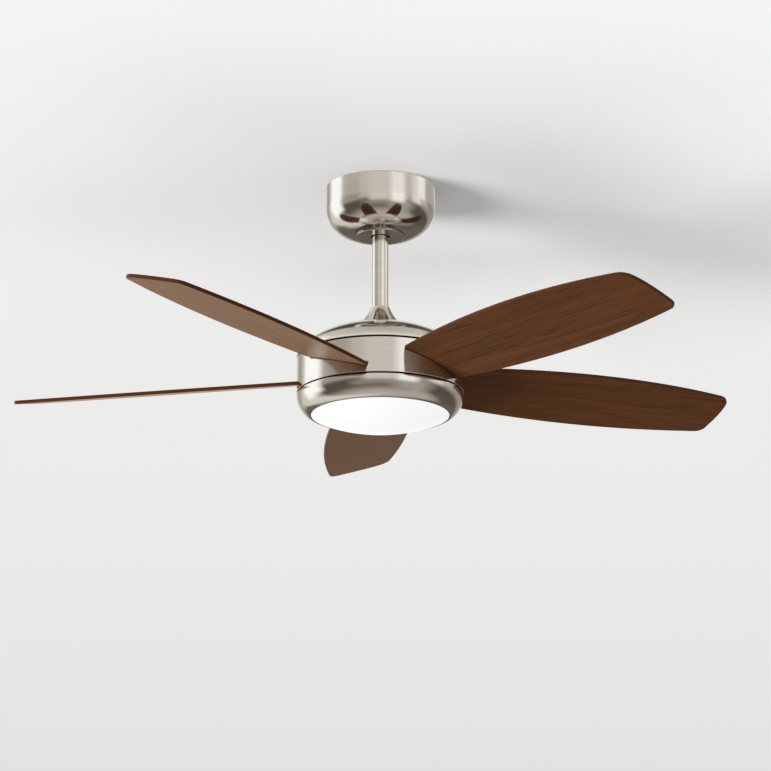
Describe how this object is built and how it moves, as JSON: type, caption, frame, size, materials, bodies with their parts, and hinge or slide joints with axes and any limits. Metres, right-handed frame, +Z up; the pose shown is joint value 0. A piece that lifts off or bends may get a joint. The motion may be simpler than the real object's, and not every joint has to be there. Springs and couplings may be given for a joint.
{
  "type": "ceiling fan with light",
  "caption": "Ceiling fan on a short downrod with pitched wood blades, brushed metal housing and a round opal light under the hub.",
  "frame": {"origin": "on the fan's axis at the ceiling, the middle of the hanger bracket's top face", "axes": "+Z up along the downrod, out of the bracket's top face; -Y towards the open side of the ball seat, the front"},
  "size_m": [1.0296, 1.0033, 0.3545],
  "materials": {
    "nickel": "brushed warm nickel, satin",
    "steel": "zinc-plated sheet steel",
    "aluminium": "as cast",
    "walnut": "walnut grain along the blade, satin lacquer",
    "opal": "opal, lit from behind",
    "dark_plastic": "moulded, matt",
    "white_plastic": "moulded, matt",
    "copper": "enamelled copper wire",
    "magnet": "sintered ferrite"
  },
  "bodies": {
    "ceiling_mount": {"hanger_bracket": "steel", "canopy": "nickel", "canopy_cover": "nickel", "canopy_screw_1": "steel", "canopy_screw_2": "steel", "remote_receiver": "dark_plastic"},
    "hanging_motor": {"hanger_ball": "dark_plastic", "hanger_pin": "steel", "downrod": "nickel", "motor_lead": "dark_plastic", "coupling_cover": "nickel", "motor_yoke": "steel", "yoke_pin": "steel", "top_cover": "nickel", "motor_shaft": "steel", "stator_core": "steel", "stator_winding": "copper", "upper_bearing_inner": "steel", "lower_bearing_inner": "steel", "light_plate": "steel", "light_ring": "nickel", "led_tray": "aluminium", "led_board": "white_plastic", "led_driver": "white_plastic", "shaft_nut": "steel"},
    "rotor": {"rotor_case": "steel", "magnet_ring": "magnet", "rotor_carrier": "aluminium", "upper_bearing_outer": "steel", "lower_bearing_outer": "steel", "hub_band": "nickel", "blade_1": "walnut", "blade_2": "walnut", "blade_3": "walnut", "blade_4": "walnut", "blade_5": "walnut", "pitch_wedge_1": "aluminium", "pitch_wedge_2": "aluminium", "pitch_wedge_3": "aluminium", "pitch_wedge_4": "aluminium", "pitch_wedge_5": "aluminium", "blade_screw_1_1": "steel", "blade_screw_1_2": "steel", "blade_screw_2_1": "steel", "blade_screw_2_2": "steel", "blade_screw_3_1": "steel", "blade_screw_3_2": "steel", "blade_screw_4_1": "steel", "blade_screw_4_2": "steel", "blade_screw_5_1": "steel", "blade_screw_5_2": "steel"},
    "diffuser": {"diffuser": "opal"}
  },
  "joints": [
    {"name": "hanger_swing", "type": "hinge", "parent": "ceiling_mount", "child": "hanging_motor", "pos_m": [0, 0, -0.0481], "axis": [1, 0, 0], "range_deg": [-5, 5]},
    {"name": "rotor_spin", "type": "hinge", "parent": "hanging_motor", "child": "rotor", "pos_m": [0, 0, -0.28], "axis": [0, 0, 1], "continuous": true},
    {"name": "diffuser_twist", "type": "hinge", "parent": "hanging_motor", "child": "diffuser", "pos_m": [0, 0, -0.34], "axis": [0, 0, 1], "range_deg": [0, 20]}
  ]
}
